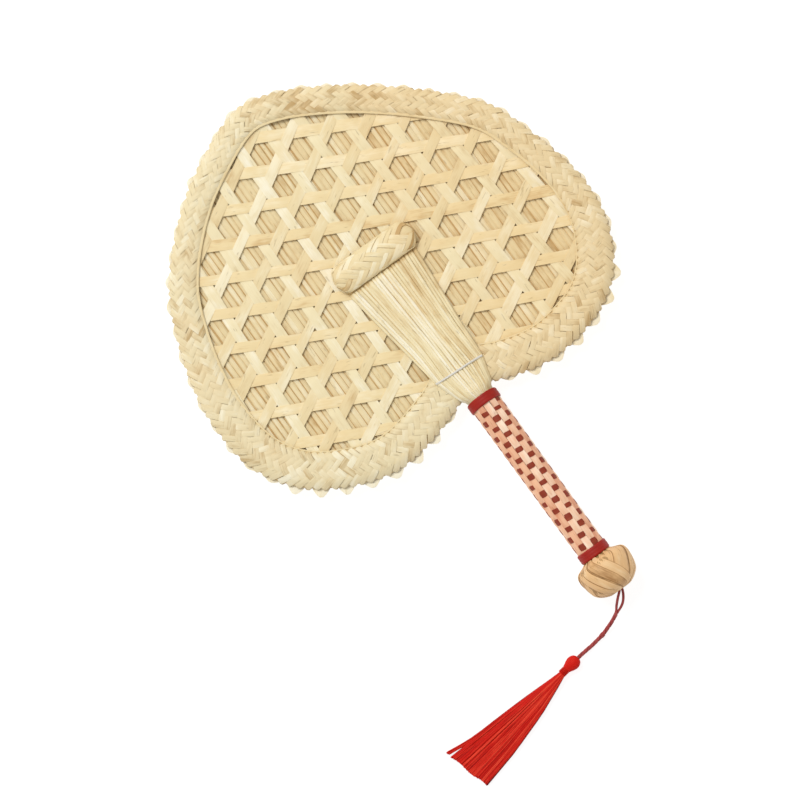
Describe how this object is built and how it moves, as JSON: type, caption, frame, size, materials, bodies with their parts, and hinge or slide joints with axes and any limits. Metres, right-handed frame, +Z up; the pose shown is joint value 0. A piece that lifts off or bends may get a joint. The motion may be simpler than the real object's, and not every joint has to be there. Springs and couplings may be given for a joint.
{
  "type": "woven straw hand fan",
  "caption": "Heart-shaped hand fan of plaited straw with an open hexagonal weave over a straw mat, a checkered handle with a plaited knob, and a red cord with a tassel.",
  "frame": {"origin": "on the table, below the middle of the fan's box without its cord and tassel", "axes": "+Y from the knob to the tip of the blade, +Z up from the table, out of the front face"},
  "size_m": [0.3014, 0.4665, 0.0388],
  "materials": {
    "straw": "satin",
    "pale_straw": "satin",
    "warm_straw": "satin",
    "stick": "matte",
    "red_strip": "satin",
    "red_cord": "matte",
    "red_silk": "satin",
    "white_thread": "matte"
  },
  "bodies": {
    "fan": {"front_border": "straw", "back_border": "pale_straw", "straw_mat": "straw", "upright_strip_01": "pale_straw", "upright_strip_02": "pale_straw", "upright_strip_03": "pale_straw", "upright_strip_04": "pale_straw", "upright_strip_05": "pale_straw", "upright_strip_06": "pale_straw", "upright_strip_07": "pale_straw", "upright_strip_08": "pale_straw", "upright_strip_09": "pale_straw", "upright_strip_10": "pale_straw", "upright_strip_11": "pale_straw", "rising_strip_01": "straw", "rising_strip_02": "straw", "rising_strip_03": "straw", "rising_strip_04": "straw", "rising_strip_05": "straw", "rising_strip_06": "straw", "rising_strip_07": "straw", "rising_strip_08": "straw", "rising_strip_09": "straw", "rising_strip_10": "straw", "rising_strip_11": "straw", "falling_strip_01": "warm_straw", "falling_strip_02": "warm_straw", "falling_strip_03": "warm_straw", "falling_strip_04": "warm_straw", "falling_strip_05": "warm_straw", "falling_strip_06": "warm_straw", "falling_strip_07": "warm_straw", "falling_strip_08": "warm_straw", "falling_strip_09": "warm_straw", "falling_strip_10": "warm_straw", "front_straw_bunch": "straw", "back_straw_bunch": "straw", "front_thread": "white_thread", "back_thread": "white_thread", "front_roll": "warm_straw", "back_roll": "warm_straw", "handle_core": "stick", "handle_weave": "warm_straw", "upper_binding": "red_strip", "lower_binding": "red_strip", "knob": "straw"},
    "cord_loop": {"cord_strand_left": "red_cord", "cord_strand_right": "red_cord"},
    "cord_end": {"cord_knot": "red_cord", "cord_twist": "red_cord"},
    "tassel": {"tassel_head": "red_silk", "tassel_neck_wrap": "red_silk", "tassel_skirt": "red_silk"}
  },
  "joints": [
    {"name": "cord_swing", "type": "hinge", "parent": "fan", "child": "cord_loop", "pos_m": [0.00755, -0.20587, 0.0201], "axis": [0, 0, 1], "range_deg": [-10, 90]},
    {"name": "cord_lift", "type": "hinge", "parent": "cord_loop", "child": "cord_end", "pos_m": [-0.02035, -0.22457, 0.003], "axis": [-0.1145, 0.9934, 0], "range_deg": [0, 80]},
    {"name": "tassel_swing", "type": "hinge", "parent": "cord_end", "child": "tassel", "pos_m": [-0.04765, -0.22797, 0.005], "axis": [0, 0, 1], "range_deg": [-60, 60]}
  ]
}
